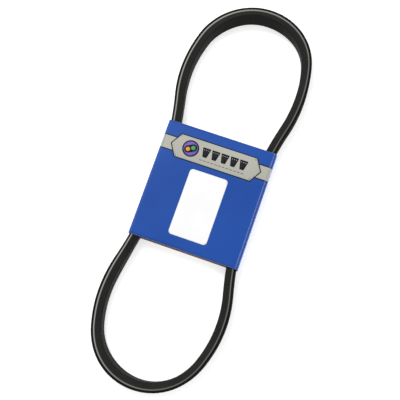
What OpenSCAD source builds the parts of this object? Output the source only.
// Endless wrapped V-belt, held flat in a folded paperboard sleeve.
// +Z is up, +Y runs along the two loops, X across the sleeve.
// The origin is under the middle of the sleeve, on the surface that it lies on.

/* [Belt section] */
// Width of the belt, from shoulder to shoulder
belt_w = 16.7; // [15:0.1:18]
// Thickness from the back to the inner face
belt_t = 9.5; // [9:0.1:11]
// Angle between the two driving flanks
groove_angle = 40; // [34:1:42]
// Width of the sloped shoulder at each edge of the back
shoulder_w = 2.9; // [2.4:0.1:3.2]
// Drop of the sloped shoulder
shoulder_h = 2.7; // [1.6:0.1:2.9]
// Chamfer at each edge of the inner face
base_chamfer = 0.8; // [0.4:0.1:1.2]

/* [Belt layers] */
// Thickness of one turn of the fabric cover
ply_t = 0.45; // [0.3:0.05:0.6]
// Thickness of the gum between the cover and the cord bed
tension_t = 1.1; // [0.8:0.1:1.4]
// Thickness of the gum on each side of the cords' middle
adhesion_t = 0.85; // [0.75:0.05:1]
// Diameter of the tensile cord
cord_d = 1.1; // [0.8:0.1:1.2]
// Distance between neighbouring turns of the cord
cord_pitch = 1.35; // [1.3:0.05:1.45]
// Number of turns of the cord across the belt
cord_turns = 9; // [5:2:9]

/* [Belt route] */
// Radius of the inward bow of each strand
waist_r = 328; // [320:2:332]
// Angle at which each strand flares out
flare = 14.2; // [14:0.1:14.4]
// Radius of each loop's long sides
side_r = 128; // [124:1:132]
// Turn of each long side
side_turn = 30.2; // [28:0.2:32]
// Radius of each loop's end
end_r = 58.3; // [54:0.1:61]

/* [Sleeve] */
// Length along the strands
sleeve_l = 113.5; // [100:0.5:116]
// Thickness of the paperboard
board_t = 0.45; // [0.35:0.05:0.5]
// Distance of the sleeve's middle below the belt's middle
sleeve_drop = 0.9; // [0:0.1:2]
// Distance that the sleeve can slide each way before the loops' flare stops it
slide_play = 1.5; // [1:0.1:2]
// Width and drop of the sloped edge where the board bends round the belt's shoulders
bend_w = 2.1; // [1.6:0.1:2.1]
// Overlap of the two back flaps
lap_w = 20; // [14:1:30]
// Distance from the middle to the overlap's far edge
lap_x = 26; // [20:1:30]
// Thickness of the glue in the overlap
glue_t = 0.12; // [0.1:0.01:0.2]

/* [Label] */
// Width of the blank label
label_w = 37; // [30:0.5:50]
// Length of the blank label
label_l = 64; // [50:1:66]
// Corner radius of the label
label_r = 3.5; // [2:0.5:6]
// Thickness of the label
label_t = 0.1; // [0.08:0.01:0.2]
// Distance of the label's middle below the sleeve's middle
label_drop = 13.4; // [5:0.1:16]
// Distance of the label's middle to the left of the sleeve's middle
label_left = -0.4; // [-4:0.2:4]

/* [Hidden] */
$fn = 96;
// Between layers that are bonded on the real belt
gap = 0.03;
// Between the belt and the sleeve
fit = 0.3;
flank = groove_angle / 2;
// Height of the belt's underside, the sleeve's top and the belt's middle
belt_z = board_t + fit;
sleeve_h = 2 * belt_z + belt_w;
mid_z = sleeve_h / 2;
// Depths below the back at which the layers meet
core_d = 2 * (ply_t + gap);
cord_depth = core_d + tension_t + gap + adhesion_t;
// The route, as the line of the belt's back in the quarter where X and Y are positive
side_from = -flare;
end_from = side_from + side_turn;
function toward(angle) = [cos(angle), sin(angle)];
bow_l = (waist_r + side_r) * sin(flare);
end_mid = [0, bow_l - (end_r - side_r) * sin(end_from)];
side_mid = end_mid + (end_r - side_r) * toward(end_from);
waist_mid = [side_mid[0] + (side_r + waist_r) * cos(flare), 0];
// The belt's back reaches this far from the middle at the sleeve's mouth, slid as far as it goes
mouth_y = sleeve_l / 2 + sleeve_drop + slide_play;
mouth_x = waist_mid[0] - sqrt(pow(waist_r, 2) - pow(mouth_y, 2));
sleeve_w = 2 * (mouth_x + fit + board_t - bend_w);
// Bare board at each edge of the glue, and the length of the step that lifts one flap over the other
glue_inset = 2;
step_l = 1.5;
lift = board_t + glue_t;

// Section of the belt, drawn inset below its surface: X is minus the depth, Y is across the belt
module outline(inset) {
    back = belt_w / 2 + shoulder_h * tan(flank) - inset / cos(flank);
    function edge(depth) = back - depth * tan(flank);
    shoulder = inset + shoulder_h;
    base = belt_t - inset;
    half = [[-inset, edge(inset) - shoulder_w], [-shoulder, edge(shoulder)],
            [base_chamfer - base, edge(base - base_chamfer)], [-base, edge(base) - base_chamfer]];
    polygon([for (p = half) p, for (i = [3:-1:0]) [half[i][0], -half[i][1]]]);
}

// Part of the rubber inside the cover, between two depths
module layer(from, to) {
    intersection() {
        outline(core_d);
        translate([-to, -belt_w / 2]) square([to - from, belt_w]);
    }
}

// The turns of the cord, side by side, each grown by a margin
module turns(margin) {
    for (i = [0:cord_turns - 1])
        translate([-cord_depth, (i - (cord_turns - 1) / 2) * cord_pitch])
            circle(d = cord_d + 2 * margin);
}

// Moves by whole millimetres, then thousandths, then the rest, so that the stretches meet exactly
module place(point) {
    whole = [for (v = point) floor(v)];
    part = [for (v = point) floor((v - floor(v)) * 1000) / 1000];
    translate(whole) translate(part) translate(point - whole - part) children();
}

// Sweeps a section along one arc of the route, with the belt's back at the given radius
module arc(middle, radius, from, turn) {
    place(middle) rotate_extrude(angle = turn, start = from) translate([radius, 0]) children();
}

// Sweeps a section round the belt's whole route
module loop() {
    for (side = [0, 1], end = [0, 1])
        mirror([side, 0, 0]) mirror([0, end, 0]) {
            arc(waist_mid, waist_r, 180 - flare, flare) mirror([1, 0]) children();
            arc(side_mid, side_r, side_from, side_turn) children();
            arc(end_mid, end_r, end_from, 90 - end_from) children();
        }
}

module belt(shade) {
    color(shade) translate([0, 0, mid_z]) loop() children();
}

module outer_cover_ply() {
    belt("#2b2b2a") difference() {
        outline(0);
        outline(ply_t);
    }
}

module inner_cover_ply() {
    belt("#3a3936") difference() {
        outline(ply_t + gap);
        outline(core_d - gap);
    }
}

module tension_gum() {
    belt("#1e1e1e") layer(core_d, core_d + tension_t);
}

module upper_adhesion_gum() {
    belt("#262421") difference() {
        layer(core_d + tension_t + gap, cord_depth - gap / 2);
        turns(gap);
    }
}

module tensile_cord() {
    belt("#c9b58a") turns(0);
}

module lower_adhesion_gum() {
    belt("#262421") difference() {
        layer(cord_depth + gap / 2, cord_depth + adhesion_t);
        turns(gap);
    }
}

module compression_core() {
    belt("#161616") layer(cord_depth + adhesion_t + gap, belt_t - core_d);
}

// The outside of the sleeve's right side, seen along the strands, moved in by a distance
function side(inset) =
    let (corner = inset * tan(45 / 2))
    let (low = [[sleeve_w / 2 - corner, inset], [sleeve_w / 2 + bend_w - inset, bend_w + corner]])
    concat(low, [for (p = [low[1], low[0]]) [p[0], sleeve_h - p[1]]]);

// The board's outside from the near flap's end, round both strands, to the flap that steps up over it
function board_edge(inset) =
    let (right = side(inset), step = -lap_x - gap)
    concat([[-lap_x, inset]], right, [for (i = [3:-1:0]) [-right[i][0], right[i][1]]],
           [[step - step_l, inset], [step, lift + inset], [lap_w - lap_x, lift + inset]]);

// The board's section, seen along the strands
module board_section() {
    inside = board_edge(board_t);
    polygon(concat(board_edge(0), [for (i = [len(inside) - 1:-1:0]) inside[i]]));
}

module sleeve_board() {
    color("#2d52a5")
        translate([0, sleeve_l / 2 - sleeve_drop, 0])
            rotate([90, 0, 0]) linear_extrude(sleeve_l) board_section();
}

module sleeve_glue() {
    color("#e6dfc4")
        translate([glue_inset - lap_x, glue_inset - sleeve_l / 2 - sleeve_drop, board_t])
            cube([lap_w - 2 * glue_inset, sleeve_l - 2 * glue_inset, glue_t]);
}

module blank_label() {
    side = label_w / 2 - label_r;
    end = label_l / 2 - label_r;
    color("white") translate([-label_left, -label_drop - sleeve_drop, sleeve_h]) linear_extrude(label_t) {
        square([label_w, 2 * end], center = true);
        square([2 * side, label_l], center = true);
        for (x = [-side, side], y = [-end, end]) translate([x, y]) circle(label_r);
    }
}

outer_cover_ply();
inner_cover_ply();
tension_gum();
upper_adhesion_gum();
tensile_cord();
lower_adhesion_gum();
compression_core();
sleeve_board();
sleeve_glue();
blank_label();
